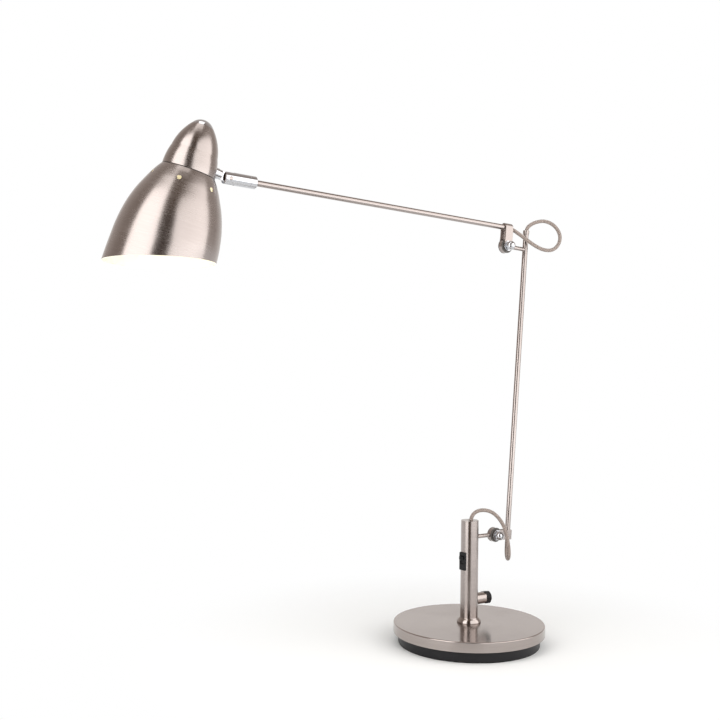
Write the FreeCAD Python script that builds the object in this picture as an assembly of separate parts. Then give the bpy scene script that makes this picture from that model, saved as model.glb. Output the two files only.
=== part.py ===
import FreeCAD, Part
import math
import os

# Dome shade desk lamp: a weighted round base, a short post with a slide switch, two thin
# tube arms on friction joints, and a bell shaped shade on a swivel knuckle.
# Millimetres. +Z is up and the origin is the centre of the base's underside. Both arms
# lie in the XZ plane: the shade hangs towards -X, the cord inlet faces +X, and the acorn
# nuts of the arm joints are on the -Y side.

Vector = FreeCAD.Vector
Placement = FreeCAD.Placement
Rotation = FreeCAD.Rotation

# Clearances
seat_gap = 0.03            # radial, between round pieces that are pressed, brazed or screwed
running_gap = 0.05         # beside and around whatever turns
slot_gap = 0.10            # on each side of a tongue or slider in its slot

# Base
base_radius = 90.0
base_height = 25.1         # the cover's top face above the table
cover_wall = 1.4
cover_edge_radius = 1.2
cover_depth = 11.9         # from the cover's top face down to its lower edge
pad_thickness = 1.5
pad_inset = 0.8            # the pad's edge inside the tray's edge
tray_inset = 5.6           # the tray's side inside the cover's edge
tray_wall = 2.0
tray_height = 13.5
tray_rim_gap = 0.4         # between the tray's rim and the cover
weight_gap = 0.2           # between the weight and the tray's side
nut_recess_radius = 16.0
nut_recess_height = 7.5
base_rod_radius = 5.0
base_rod_bore = 3.5
rod_hole_gap = 0.25
washer_radius = 12.0
washer_thickness = 1.5
base_nut_flats = 16.0
base_nut_height = 5.0
tray_screw_count = 3
tray_screw_circle = 60.0
tray_screw_radius = 2.0
tray_screw_head_radius = 4.0
tray_screw_length = 10.0

# Post
post_radius = 10.5
post_wall = 1.5
post_length = 121.4
insert_length = 14.0
insert_lift = 0.9          # the threaded insert above the post's lower end
rod_past_insert = 5.0
collar_radius = 14.4
collar_edge_height = 1.4
collar_height = 6.4
collar_neck_radius = 11.6
collar_bulge = 0.6         # of its round side past a straight cone
cap_thickness = 3.0
cap_hole_radius = 2.9
cap_hole_shift = 1.2       # the cord's hole is off the post's axis, towards +X

# Slide switch in the post
switch_turn = 184.0        # direction that it faces, from +X towards +Y
switch_width = 9.2
switch_height = 21.2
switch_lift = 62.9         # its lower end above the base
switch_proud = 1.7
switch_depth = 6.8
slider_width = 6.0
slider_height = 4.0
slider_thickness = 3.7
slider_sunk = 1.2
slider_lift = 12.7         # its lower end above the switch's lower end, at rest
slider_travel = 5.0

# Cord inlet
inlet_lift = 26.4          # its axis above the base
nipple_radius = 6.9
nipple_reach = 22.4        # end of the nipple's body from the post's axis
nipple_spigot_radius = 4.5
nipple_spigot_inside = 1.5
nipple_thread_radius = 5.5
nipple_thread_length = 5.0
inlet_bore = 3.5
gland_flats = 14.0
gland_length = 7.1
gland_turn = 80.0          # its corners point 10 degrees off the level
gland_chamfer = 1.0

# Arm tubes and their joints
arm_radius = 3.25
arm_wall = 0.7
mouth_flare = 0.45         # how far the tubes' lower mouths open out for the cord
mouth_flare_depth = 3.0
strap_plate = 2.0
strap_width = 11.4
strap_nose_radius = 5.8
strap_neck = 12.0          # from the pivot to where the strap has its full width
stub_radius = 2.5
stub_inside_post = 1.5     # past the inner face of the post's wall
eye_radius = 8.4
pivot_washer_radius = 8.6
pivot_washer_thickness = 0.5
pivot_bolt_radius = 3.0
bolt_head_radius = 5.2
bolt_head_height = 2.6
acorn_flange_radius = 6.2
acorn_flange_height = 1.0
acorn_ball_radius = 5.5
acorn_foot_radius = 3.85   # of the circle where the ball stands on its flange
acorn_thread_depth = 4.5

# Lower arm
lower_pivot_reach = 38.3   # from the post's axis
lower_pivot_drop = 20.3    # below the post's top
lower_lean = 3.9           # degrees past upright, towards +X
lower_offset = 20.9        # from the pivot to the tube's axis
elbow_height = 351.85      # of the elbow's stub along the tube, from the lower pivot
elbow_reach = 32.25        # from the tube's axis to the elbow's pivot
lower_tube_past_elbow = 23.0
bush_radius = 3.8
bush_length = 4.5
bush_lip = 0.8
bush_hole_radius = 2.5

# Upper arm
upper_rise = 3.14          # degrees above level, towards the shade
upper_offset = 22.7
upper_strap_shift = 1.2    # the strap's middle beyond the pivot, towards the tube's mouth
upper_reach = 374.7        # from the elbow's pivot to the shade's pivot
tube_in_knuckle = 8.5
swivel_collar_length = 8.0
swivel_chamfer = 1.2

# Knuckle
knuckle_radius = 6.6
knuckle_length = 29.0
knuckle_past_pivot = 5.9
knuckle_chamfer = 0.8
tongue_thickness = 4.8
tongue_radius = 5.4
tongue_slot_depth = 6.0    # behind the pivot
tilt_pin_radius = 2.0
wire_bore = 2.0

# Shade's attitude
shade_roll = 9.0           # degrees about the arm, top towards -Y
shade_tilt = 11.06         # degrees of the shade's axis past square to the arm

# Cup, the shade's cap. Heights are above the seam between the cup and the shade.
cup_radius = 27.2
cup_belt_radius = 26.4
cup_belt_height = 10.5
cup_crease_radius = 23.9
cup_crease_height = 20.5
cup_shoulder_radius = 20.65
cup_shoulder_height = 32.0
cup_top_radius = 11.5
cup_height = 47.2
cup_wall = 1.0
finial_inset = 0.15
finial_height = 6.5

# Shade. Depths are below the seam.
seam_step = 0.2
shade_radii = [31.5, 38.0, 46.5, 52.1, 54.2, 55.3]
shade_depths = [6.0, 18.0, 38.0, 62.0, 86.0, 116.0]
shade_wall = 0.8
rim_depth = 95.15          # where the rim's plane crosses the axis
rim_angle = 16.4           # degrees between the rim's plane and a square cut
rim_short_side = -39.0     # direction of the rim's highest point, degrees about the axis
vent_count = 6
vent_radius = 2.25
vent_depth = 12.5
vent_turn = -2.5

# Stud between the cup and the knuckle
stud_height = 8.8          # above the seam
stud_length = 16.1         # from the cup's lower edge to the pivot
stud_neck_length = 3.9
stud_shoulder_radius = 5.0
stud_shoulder_length = 3.5
stud_shank_radius = 3.0
stud_wire_bore = 1.5
stud_nut_flats = 8.0
stud_nut_thickness = 4.0
stud_collar_radius = 5.5

# Lamp holder and bulb
holder_radius = 19.2
holder_bore = 13.6
holder_drop = 14.0
holder_height = 24.0
holder_floor = 4.0
holder_shoulder_radius = 22.0
holder_shoulder_height = 3.0
holder_hole_gap = 1.1
holder_ring_radius = 23.0
holder_ring_height = 4.2
holder_cap_height = 12.0
holder_cap_top_radius = 9.0
holder_cap_wall = 2.0
head_nipple_radius = 5.0
head_nipple_bore = 3.5
head_nipple_engaged = 2.0
finial_engaged = 2.8
bulb_radius = 22.5
bulb_drop = 40.0           # of the glass's centre below the seam
bulb_screw_radius = 13.1
bulb_screw_top = 12.0      # above the seam
bulb_screw_length = 24.0
bulb_contact_radius = 5.0
bulb_contact_height = 3.0
bulb_wall = 0.8
bulb_cheek = 35.0          # degrees above the glass's widest line where its round part starts

# Cord: the points of its two free stretches
cord_radius = 2.25
corner_share = 0.45        # share of the shorter run that an arc takes at a point
lower_loop_route = [
    (0.7, 0, 138), (1.1, 0, 147.2), (5.2, -0.5, 154.8), (15, -2.5, 158.4),
    (27, -7, 156.3), (35, -12.5, 148.2), (39.2, -17.5, 137.5), (41.8, -19.3, 126.3),
    (44.5, -19.2, 114.5), (46.8, -17.8, 103.8), (50.1, -12.6, 97.2), (54.2, -5.8, 96.6),
    (57.3, -0.7, 102.8), (58.5, 0, 115.3), (59.16, 0, 125),
]
elbow_loop_route = [
    (50, 0, 500.79), (59, 0, 500.29), (66.5, -3, 495.8), (76, -7.5, 488.5),
    (87.5, -11.5, 480.5), (100, -15, 475), (114, -17, 475.5), (124.5, -17, 484),
    (128.5, -15, 496), (122.5, -11.5, 507.5), (110.3, -7, 513.3), (98.3, -2.5, 511.2),
    (89.4, -0.2, 506.3), (84.8, 0, 500.9), (84.33, 0, 494),
]

# Heights and radii that follow from the sizes above
cover_underside = base_height - cover_wall
cover_inside = base_radius - cover_wall
tray_radius = base_radius - tray_inset
tray_floor_top = pad_thickness + tray_wall
nut_recess_top = tray_floor_top + nut_recess_height
base_nut_top = nut_recess_top - washer_thickness
base_nut_bottom = base_nut_top - base_nut_height
insert_bottom = base_height + insert_lift
insert_top = insert_bottom + insert_length
post_bore = post_radius - post_wall
post_top = base_height + post_length
switch_bottom = base_height + switch_lift
switch_face = post_radius + switch_proud
inlet_height = base_height + inlet_lift
lower_pivot_height = post_top - lower_pivot_drop
arm_bore = arm_radius - arm_wall
strap_outside = arm_radius + strap_plate
eye_half = arm_radius - pivot_washer_thickness - running_gap
cup_inside = cup_radius - cup_wall
shade_top_radius = cup_radius + seam_step
shade_hole_radius = holder_radius + holder_hole_gap
stud_reach = cup_radius + stud_length
knuckle_back = upper_reach - knuckle_length + knuckle_past_pivot
holder_top = holder_height + holder_cap_height

# Frames of the parts that lean: each has its pivot at its origin
Y_AXIS = Vector(0, 1, 0)
lower_frame = Placement(Vector(lower_pivot_reach, 0, lower_pivot_height), Rotation(Y_AXIS, lower_lean))
elbow_pivot = lower_frame.multVec(Vector(lower_offset - elbow_reach, 0, elbow_height))
upper_frame = Placement(elbow_pivot, Rotation(Y_AXIS, upper_rise - 90))
shade_pivot = upper_frame.multVec(Vector(upper_offset, 0, upper_reach))
roll = Rotation(Vector(0, 0, 1), -shade_roll)
knuckle_frame = Placement(shade_pivot, upper_frame.Rotation.multiply(roll))
# the shade's own frame: +Z up its axis, +X along the stud, origin at the seam's centre
tilt = Rotation(Y_AXIS, 90 + shade_tilt)
shade_turn = knuckle_frame.Rotation.multiply(tilt)
shade_frame = Placement(
    shade_pivot - shade_turn.multVec(Vector(stud_reach, 0, stud_height)), shade_turn
)


# ---------- shapes that repeat ----------

def disc(radius, bottom, top):
    """Upright cylinder on the Z axis."""
    return Part.makeCylinder(radius, top - bottom, Vector(0, 0, bottom))


def ring(radius, bore, bottom, top):
    """Upright tube on the Z axis."""
    return disc(radius, bottom, top).cut(disc(bore, bottom, top))


def bar(radius, start, end):
    """Round bar from one point to another."""
    along = end - start
    return Part.makeCylinder(radius, along.Length, start, along)


def block(x_low, x_high, y_half, z_low, z_high):
    """Box that is symmetric about the XZ plane."""
    corner = Vector(x_low, -y_half, z_low)
    return Part.makeBox(x_high - x_low, 2 * y_half, z_high - z_low, corner)


def hexagon(flats, bottom, top):
    """Upright hexagonal bar on the Z axis."""
    corner_radius = flats / math.sqrt(3)
    corners = []
    for side in range(7):
        angle = math.radians(60 * side)
        corners.append(Vector(corner_radius * math.cos(angle), corner_radius * math.sin(angle), bottom))
    face = Part.Face(Part.makePolygon(corners))
    return face.extrude(Vector(0, 0, top - bottom))


def hex_nut(flats, bore, bottom, top):
    return hexagon(flats, bottom, top).cut(disc(bore, bottom, top))


def line(start, end):
    return Part.LineSegment(start, end).toShape()


def arc(start, middle, end):
    return Part.Arc(start, middle, end).toShape()


def at(radius, height):
    """Point of an outline that is spun about the Z axis."""
    return Vector(radius, 0, height)


def spun(edges):
    """Solid of revolution about the Z axis of a closed outline."""
    face = Part.Face(Part.Wire(edges))
    return face.revolve(Vector(0, 0, 0), Vector(0, 0, 1), 360)


def along_x(shape):
    """Turns a shape that was made about the Z axis so that it points along +X."""
    turned = shape.copy()
    turned.Placement = Placement(Vector(0, 0, 0), Rotation(Y_AXIS, 90)).multiply(turned.Placement)
    return turned


def along_y(shape):
    """Turns a shape that was made about the Z axis so that it points along -Y."""
    turned = shape.copy()
    turned.Placement = Placement(Vector(0, 0, 0), Rotation(Vector(1, 0, 0), 90)).multiply(turned.Placement)
    return turned


def moved(shape, x=0, y=0, z=0):
    turned = shape.copy()
    turned.Placement = Placement(Vector(x, y, z), Rotation()).multiply(turned.Placement)
    return turned


def in_frame(shape, frame):
    turned = shape.copy()
    turned.Placement = frame.multiply(turned.Placement)
    return turned


def turned_about_z(shape, degrees):
    return in_frame(shape, Placement(Vector(0, 0, 0), Rotation(Vector(0, 0, 1), degrees)))


# ---------- base ----------

def make_base_cover():
    cover = disc(base_radius, base_height - cover_depth, base_height)
    top_edges = [edge for edge in cover.Edges if edge.BoundBox.ZMin > base_height - cover_wall / 2]
    cover = cover.makeFillet(cover_edge_radius, top_edges)
    cover = cover.cut(disc(cover_inside, base_height - cover_depth, cover_underside))
    return cover.cut(disc(base_rod_radius + rod_hole_gap, cover_underside, base_height))


def tray_screw_place(shape, number):
    angle = 360 * number / tray_screw_count
    return turned_about_z(moved(shape, x=tray_screw_circle), angle)


def make_tray_screw(gap):
    """One countersunk screw, or with a gap the hole that it needs."""
    head = Part.makeCone(
        tray_screw_head_radius + gap, tray_screw_radius + gap, tray_wall, Vector(0, 0, pad_thickness)
    )
    shank = disc(tray_screw_radius + gap, pad_thickness, pad_thickness + tray_screw_length + gap)
    return head.fuse(shank)


def tray_screw_holes():
    holes = []
    for number in range(tray_screw_count):
        holes.append(tray_screw_place(make_tray_screw(seat_gap), number))
    return holes


def make_tray_screws():
    screws = []
    for number in range(tray_screw_count):
        screws.append(tray_screw_place(make_tray_screw(0), number))
    return Part.makeCompound(screws)


def make_base_weight():
    weight = disc(tray_radius - tray_wall - weight_gap, tray_floor_top, cover_underside)
    weight = weight.cut(disc(nut_recess_radius, tray_floor_top, nut_recess_top))
    weight = weight.cut(disc(base_rod_radius + rod_hole_gap, nut_recess_top, cover_underside))
    return weight.cut(tray_screw_holes())


def make_base_tray():
    inside = tray_radius - tray_wall
    top = pad_thickness + tray_height
    rim_radius = cover_inside - tray_rim_gap
    tray = disc(tray_radius, pad_thickness, top)
    tray = tray.fuse(disc(rim_radius, top - tray_wall, top))
    tray = tray.cut(disc(inside, tray_floor_top, top))
    return tray.cut(tray_screw_holes())


def make_foot_pad():
    return disc(tray_radius - pad_inset, 0, pad_thickness)


def make_base_rod():
    return ring(base_rod_radius, base_rod_bore, base_nut_bottom, insert_top + rod_past_insert)


def make_base_washer():
    return ring(washer_radius, base_rod_radius + seat_gap, base_nut_top, nut_recess_top)


def make_base_nut():
    return hex_nut(base_nut_flats, base_rod_radius + seat_gap, base_nut_bottom, base_nut_top)


# ---------- post ----------

def stub_hole():
    """Hole for the lower arm's stub through the post's +X side."""
    height = Vector(0, 0, lower_pivot_height)
    return bar(stub_radius + seat_gap, height, height + Vector(2 * post_radius, 0, 0))


def inlet_hole():
    height = Vector(0, 0, inlet_height)
    return bar(nipple_spigot_radius + seat_gap, height, height + Vector(2 * post_radius, 0, 0))


def switch_window():
    half = switch_width / 2 + seat_gap
    window = block(
        0, 2 * post_radius, half, switch_bottom - seat_gap, switch_bottom + switch_height + seat_gap
    )
    return turned_about_z(window, switch_turn)


def make_post_tube():
    post = ring(post_radius, post_bore, base_height, post_top)
    return post.cut([stub_hole(), inlet_hole(), switch_window()])


def make_post_collar():
    bore = post_radius + seat_gap
    edge_top = base_height + collar_edge_height
    top = base_height + collar_height
    bulge = at((collar_radius + collar_neck_radius) / 2 + collar_bulge, (edge_top + top) / 2)
    return spun([
        line(at(bore, base_height), at(collar_radius, base_height)),
        line(at(collar_radius, base_height), at(collar_radius, edge_top)),
        arc(at(collar_radius, edge_top), bulge, at(collar_neck_radius, top)),
        line(at(collar_neck_radius, top), at(bore, top)),
        line(at(bore, top), at(bore, base_height)),
    ])


def make_post_insert():
    return ring(post_bore - seat_gap, base_rod_radius + seat_gap, insert_bottom, insert_top)


def make_post_cap():
    cap = disc(post_bore - seat_gap, post_top - cap_thickness, post_top)
    hole = moved(disc(cap_hole_radius, post_top - cap_thickness, post_top), x=cap_hole_shift)
    return cap.cut(hole)


def make_stub(length, tube_radius):
    """Stub of a pivot: its eye is at the origin and its rod runs along +X into a tube."""
    eye = along_y(disc(eye_radius, -eye_half, eye_half))
    rod = bar(stub_radius, Vector(eye_radius / 2, 0, 0), Vector(length - tube_radius, 0, 0))
    hole = along_y(disc(pivot_bolt_radius + running_gap, -eye_half, eye_half))
    return eye.fuse(rod).cut(hole)


def make_post_stub():
    stub = turned_about_z(make_stub(lower_pivot_reach, post_bore - stub_inside_post), 180)
    return moved(stub, x=lower_pivot_reach, z=lower_pivot_height)


def make_switch_body():
    depth = block(
        switch_face - switch_depth, switch_face, switch_width / 2,
        switch_bottom, switch_bottom + switch_height
    )
    slot = block(
        switch_face - slider_sunk - running_gap, switch_face, slider_width / 2 + slot_gap,
        switch_bottom + slider_lift - slider_travel - slot_gap,
        switch_bottom + slider_lift + slider_height + slot_gap
    )
    return turned_about_z(depth.cut(slot), switch_turn)


def make_switch_slider():
    bottom = switch_bottom + slider_lift
    back = switch_face - slider_sunk
    slider = block(back, back + slider_thickness, slider_width / 2, bottom, bottom + slider_height)
    return turned_about_z(slider, switch_turn)


def make_gland_nipple():
    spigot_start = post_bore - nipple_spigot_inside
    body = disc(nipple_radius, 0, nipple_reach)
    body = body.fuse(disc(nipple_thread_radius, nipple_reach, nipple_reach + nipple_thread_length))
    body = moved(along_x(body), z=inlet_height)
    body = body.cut(disc(post_radius + seat_gap, base_height, post_top))
    spigot = moved(along_x(disc(nipple_spigot_radius, spigot_start, nipple_reach)), z=inlet_height)
    bore = moved(
        along_x(disc(inlet_bore, 0, nipple_reach + nipple_thread_length)), z=inlet_height
    )
    return body.fuse(spigot).cut(bore)


def make_gland_nut():
    end = nipple_reach + gland_length
    nut = hexagon(gland_flats, nipple_reach, end)
    corner_radius = gland_flats / math.sqrt(3)
    cone = Part.makeCone(
        corner_radius + gland_length, corner_radius - gland_chamfer, gland_length + gland_chamfer,
        Vector(0, 0, end - gland_length - gland_chamfer)
    )
    nut = nut.common(cone)
    thread_end = nipple_reach + nipple_thread_length + seat_gap
    nut = nut.cut(disc(nipple_thread_radius + seat_gap, nipple_reach, thread_end))
    nut = nut.cut(disc(inlet_bore, nipple_reach, end))
    return moved(along_x(turned_about_z(nut, gland_turn)), z=inlet_height)


# ---------- arm joints ----------

def make_strap(offset, shift):
    """Plate bent round an arm's tube, with an ear on each side of the pivot at the origin.

    The tube is parallel to Z at x = offset, and shift is how far the ears' wide part
    lies from the pivot along it.
    """
    low = shift - strap_width / 2
    high = shift + strap_width / 2
    nose = strap_nose_radius
    outline = [
        line(Vector(offset, 0, low), Vector(strap_neck, 0, low)),
        line(Vector(strap_neck, 0, low), Vector(0, 0, -nose)),
        arc(Vector(0, 0, -nose), Vector(-nose, 0, 0), Vector(0, 0, nose)),
        line(Vector(0, 0, nose), Vector(strap_neck, 0, high)),
        line(Vector(strap_neck, 0, high), Vector(offset, 0, high)),
        line(Vector(offset, 0, high), Vector(offset, 0, low)),
    ]
    ears = Part.Face(Part.Wire(outline)).extrude(Vector(0, 2 * strap_outside, 0))
    ears = moved(ears, y=-strap_outside)
    bend = moved(disc(strap_outside, low, high), x=offset)
    strap = ears.fuse(bend)
    strap = strap.cut(moved(disc(arm_radius + seat_gap, low, high), x=offset))
    strap = strap.cut(block(-2 * nose, offset, arm_radius, low - nose, high + nose))
    bolt_hole = along_y(disc(pivot_bolt_radius + seat_gap, -strap_outside, strap_outside))
    return strap.cut(bolt_hole)


def make_pivot_bolt():
    """Bolt with a low round head at +Y. Its shank ends inside the acorn nut."""
    shank = disc(pivot_bolt_radius, -strap_outside, strap_outside + acorn_thread_depth)
    head = disc(bolt_head_radius, -strap_outside - bolt_head_height, -strap_outside)
    rim = [edge for edge in head.Edges if edge.BoundBox.ZMax < -strap_outside - bolt_head_height / 2]
    head = head.makeFillet(bolt_head_height / 2, rim)
    return along_y(head.fuse(shank))


def make_acorn_nut():
    """Ball shaped nut at -Y, with a thin flange against the strap."""
    flange_top = strap_outside + acorn_flange_height
    flange = disc(acorn_flange_radius, strap_outside, flange_top)
    ball_height = math.sqrt(acorn_ball_radius ** 2 - acorn_foot_radius ** 2)
    ball = Part.makeSphere(acorn_ball_radius, Vector(0, 0, flange_top + ball_height))
    ball = ball.common(disc(acorn_ball_radius, flange_top, flange_top + 2 * acorn_ball_radius))
    hole = disc(pivot_bolt_radius + seat_gap, strap_outside, strap_outside + acorn_thread_depth + seat_gap)
    return along_y(flange.fuse(ball).cut(hole))


def make_pivot_washers():
    """Friction washers, one against each ear."""
    bore = pivot_bolt_radius + seat_gap
    inner = arm_radius - pivot_washer_thickness
    near = along_y(ring(pivot_washer_radius, bore, inner, arm_radius))
    far = along_y(ring(pivot_washer_radius, bore, -arm_radius, -inner))
    return Part.makeCompound([near, far])


def flared_mouth(bottom):
    """Cutter that opens a tube's bore at its lower end."""
    return Part.makeCone(arm_bore + mouth_flare, arm_bore, mouth_flare_depth, Vector(0, 0, bottom))


# ---------- lower arm, in its own frame ----------

lower_tube_bottom = -strap_width / 2
lower_tube_top = elbow_height + lower_tube_past_elbow


def make_lower_strap():
    return make_strap(lower_offset, 0)


def make_lower_arm_tube():
    tube = ring(arm_radius, arm_bore, lower_tube_bottom, lower_tube_top)
    return moved(tube.cut(flared_mouth(lower_tube_bottom)), x=lower_offset)


def make_lower_arm_bush():
    """Ferrule over the tube's upper end, with a lip that the cord comes out through."""
    top = lower_tube_top + bush_lip
    bush = ring(bush_radius, bush_hole_radius, top - bush_length, top)
    bush = bush.cut(disc(arm_radius + seat_gap, top - bush_length, lower_tube_top))
    return moved(bush, x=lower_offset)


def make_elbow_stub():
    """Stub that carries the elbow's pivot, brazed to the side of the lower tube."""
    stub = moved(make_stub(elbow_reach, 0), x=lower_offset - elbow_reach)
    return stub.cut(moved(disc(arm_radius + seat_gap, -eye_radius, eye_radius), x=lower_offset))


# ---------- upper arm, in its own frame ----------

upper_tube_bottom = -upper_strap_shift - strap_width / 2
upper_tube_top = knuckle_back + tube_in_knuckle


def make_upper_strap():
    return make_strap(upper_offset, -upper_strap_shift)


def make_upper_arm_tube():
    tube = ring(arm_radius, arm_bore, upper_tube_bottom, upper_tube_top)
    return moved(tube.cut(flared_mouth(upper_tube_bottom)), x=upper_offset)


def make_swivel_collar():
    """Fixed ring on the tube that the knuckle turns against."""
    top = knuckle_back - running_gap
    bottom = top - swivel_collar_length
    collar = disc(knuckle_radius, bottom, top)
    lower_edge = [edge for edge in collar.Edges if edge.BoundBox.ZMax < bottom + swivel_chamfer]
    collar = collar.makeChamfer(swivel_chamfer, lower_edge)
    collar = collar.cut(disc(arm_radius + seat_gap, bottom, top))
    return moved(collar, x=upper_offset)


# ---------- knuckle: +Z along the arm, origin at the shade's pivot, Y the tilt axis ----------

def make_knuckle_body():
    back = knuckle_past_pivot - knuckle_length
    body = disc(knuckle_radius, back, knuckle_past_pivot)
    front_edge = [edge for edge in body.Edges if edge.BoundBox.ZMin > knuckle_past_pivot - knuckle_chamfer]
    body = body.makeChamfer(knuckle_chamfer, front_edge)
    slot_half = tongue_thickness / 2 + slot_gap
    slot = block(-2 * knuckle_radius, 2 * knuckle_radius, slot_half, -tongue_slot_depth, knuckle_length)
    body = body.cut(slot)
    body = body.cut(disc(arm_radius + running_gap, back, back + tube_in_knuckle + running_gap))
    body = body.cut(disc(wire_bore, back, knuckle_past_pivot))
    pin_hole = along_y(disc(tilt_pin_radius + seat_gap, -knuckle_radius, knuckle_radius))
    return body.cut(pin_hole)


def make_knuckle_pin():
    """Cross pin, trimmed to the knuckle's round side."""
    pin = along_y(disc(tilt_pin_radius, -knuckle_radius, knuckle_radius))
    return pin.common(disc(knuckle_radius, -knuckle_radius, knuckle_radius))


# ---------- shade and holder, in the shade's frame ----------

def cup_side_circle():
    """Circle that the cup's lower side follows, in the plane of its outline."""
    return Part.Circle(
        at(cup_radius, 0), at(cup_belt_radius, cup_belt_height), at(cup_crease_radius, cup_crease_height)
    )


def cup_profile(inset):
    """Solid inside the cup's outer face, or with an inset the space inside its wall."""
    seam = at(cup_radius - inset, 0)
    belt = at(cup_belt_radius - inset, cup_belt_height)
    crease = at(cup_crease_radius - inset, cup_crease_height)
    shoulder = at(cup_shoulder_radius - inset, cup_shoulder_height - inset / 2)
    top = at(cup_top_radius - inset / 2, cup_height - inset)
    return spun([
        arc(seam, belt, crease),
        arc(crease, shoulder, top),
        line(top, at(0, cup_height - inset)),
        line(at(0, cup_height - inset), at(0, 0)),
        line(at(0, 0), seam),
    ])


def stud_shank_hole():
    return moved(along_x(disc(stud_shank_radius + seat_gap, 0, stud_reach)), z=stud_height)


def make_cup():
    cup = cup_profile(0).cut(cup_profile(cup_wall))
    cup = cup.cut(disc(head_nipple_radius + seat_gap, cup_height / 2, cup_height))
    return cup.cut(stud_shank_hole())


def make_finial():
    """Domed nut on top of the cup: the cap of a ball."""
    radius = cup_top_radius - finial_inset
    base = cup_height
    ball_radius = (radius ** 2 + finial_height ** 2) / (2 * finial_height)
    ball = Part.makeSphere(ball_radius, Vector(0, 0, base + finial_height - ball_radius))
    dome = ball.common(disc(radius, base, base + finial_height))
    return dome.cut(disc(head_nipple_radius + seat_gap, base, base + finial_engaged + seat_gap))


def shade_curve(inset):
    """The shade's side as a smooth curve, or with an inset the curve inside its wall."""
    outer_points = [at(shade_top_radius, 0)]
    for radius, depth in zip(shade_radii, shade_depths):
        outer_points.append(at(radius, -depth))
    outer = Part.BSplineCurve()
    outer.interpolate(outer_points)
    if inset == 0:
        return outer
    inner_points = []
    for point in outer_points:
        direction = outer.tangent(outer.parameter(point))[0]
        inward = Vector(direction.z, 0, -direction.x)
        inner_points.append(point + inward * inset)
    inner = Part.BSplineCurve()
    inner.interpolate(inner_points)
    return inner


def shade_profile(inset):
    """Solid inside the shade's outer face, or with an inset the space inside its wall."""
    curve = shade_curve(inset)
    top = curve.value(curve.FirstParameter)
    bottom = curve.value(curve.LastParameter)
    return spun([
        curve.toShape(),
        line(bottom, at(0, bottom.z)),
        line(at(0, bottom.z), at(0, top.z)),
        line(at(0, top.z), top),
    ])


def rim_cutter():
    """Everything below the rim's slanting plane."""
    size = 4 * max(shade_radii)
    below = Part.makeBox(size, size, size, Vector(-size / 2, -size / 2, -size))
    slope = Placement(Vector(0, 0, -rim_depth), Rotation(Y_AXIS, -rim_angle))
    return turned_about_z(in_frame(below, slope), rim_short_side)


def make_shade():
    inner = shade_profile(shade_wall)
    inner = inner.cut(disc(shade_top_radius, -shade_wall, cup_height))
    shade = shade_profile(0).cut(inner)
    shade = shade.cut(disc(shade_hole_radius, -2 * shade_wall, 0))
    shade = shade.cut(rim_cutter())
    vents = []
    for number in range(vent_count):
        vent = moved(along_x(disc(vent_radius, 0, 2 * shade_top_radius)), z=-vent_depth)
        vents.append(turned_about_z(vent, vent_turn + 360 * number / vent_count))
    return shade.cut(vents)


def make_head_stud():
    """Stud with its tongue in the knuckle. The shank goes through the cup's side."""
    half = tongue_thickness / 2
    shoulder_end = stud_reach - tongue_radius - stud_neck_length
    shoulder_start = shoulder_end - stud_shoulder_length
    eye = moved(along_y(disc(tongue_radius, -half, half)), x=stud_reach)
    neck = block(shoulder_end, stud_reach, half, -stud_shoulder_radius, stud_shoulder_radius)
    round_neck = along_x(disc(stud_shoulder_radius, shoulder_end, stud_reach))
    neck = neck.common(round_neck)
    hinge = along_y(disc(tilt_pin_radius + running_gap, -half, half))
    shoulder = along_x(disc(stud_shoulder_radius, shoulder_start, shoulder_end))
    shank = along_x(disc(stud_shank_radius, nut_inner_face() - seat_gap, shoulder_start))
    stud = eye.fuse([neck, shoulder, shank])
    stud = stud.cut(along_x(disc(stud_wire_bore, nut_inner_face() - seat_gap, stud_reach)))
    return moved(stud.cut(moved(hinge, x=stud_reach)), z=stud_height)


def nut_outer_face():
    """Where the flat face of the stud's nut meets the round inside of the cup."""
    side = cup_side_circle()
    rise = max(stud_height + stud_nut_flats / 2 - side.Center.z, 0)
    outer = side.Center.x + math.sqrt(side.Radius ** 2 - rise ** 2)
    inside = outer - cup_wall
    corner = stud_nut_flats / math.sqrt(3)
    return math.sqrt(inside ** 2 - corner ** 2) - seat_gap


def nut_inner_face():
    return nut_outer_face() - stud_nut_thickness


def make_stud_nut():
    nut = hex_nut(stud_nut_flats, stud_shank_radius + seat_gap, nut_inner_face(), nut_outer_face())
    return moved(along_x(nut), z=stud_height)


def make_stud_collar():
    """Spacer between the stud's shoulder and the cup, shaped to the cup's round side."""
    end = stud_reach - tongue_radius - stud_neck_length - stud_shoulder_length
    collar = ring(stud_collar_radius, stud_shank_radius + seat_gap, end - stud_collar_radius, end)
    collar = moved(along_x(collar), z=stud_height)
    return collar.cut(cup_profile(0)).cut(disc(shade_top_radius, -stud_collar_radius, 0))


def make_holder_body():
    body = disc(holder_radius, -holder_drop, holder_height)
    body = body.fuse(disc(holder_shoulder_radius, 0, holder_shoulder_height))
    return body.cut(disc(holder_bore, -holder_drop, holder_height - holder_floor))


def make_holder_ring():
    """Ring nut under the shade's top that clamps it to the holder's shoulder."""
    top = -shade_wall
    return ring(holder_ring_radius, holder_radius + seat_gap, top - holder_ring_height, top)


def make_holder_cap():
    cap = Part.makeCone(
        holder_radius, holder_cap_top_radius, holder_cap_height, Vector(0, 0, holder_height)
    )
    hollow = Part.makeCone(
        holder_radius - holder_cap_wall, holder_cap_top_radius - holder_cap_wall,
        holder_cap_height - holder_cap_wall, Vector(0, 0, holder_height)
    )
    return cap.cut(hollow).cut(disc(head_nipple_radius + seat_gap, holder_height, holder_top))


def make_head_nipple():
    bottom = holder_top - head_nipple_engaged
    return ring(head_nipple_radius, head_nipple_bore, bottom, cup_height + finial_engaged)


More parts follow.
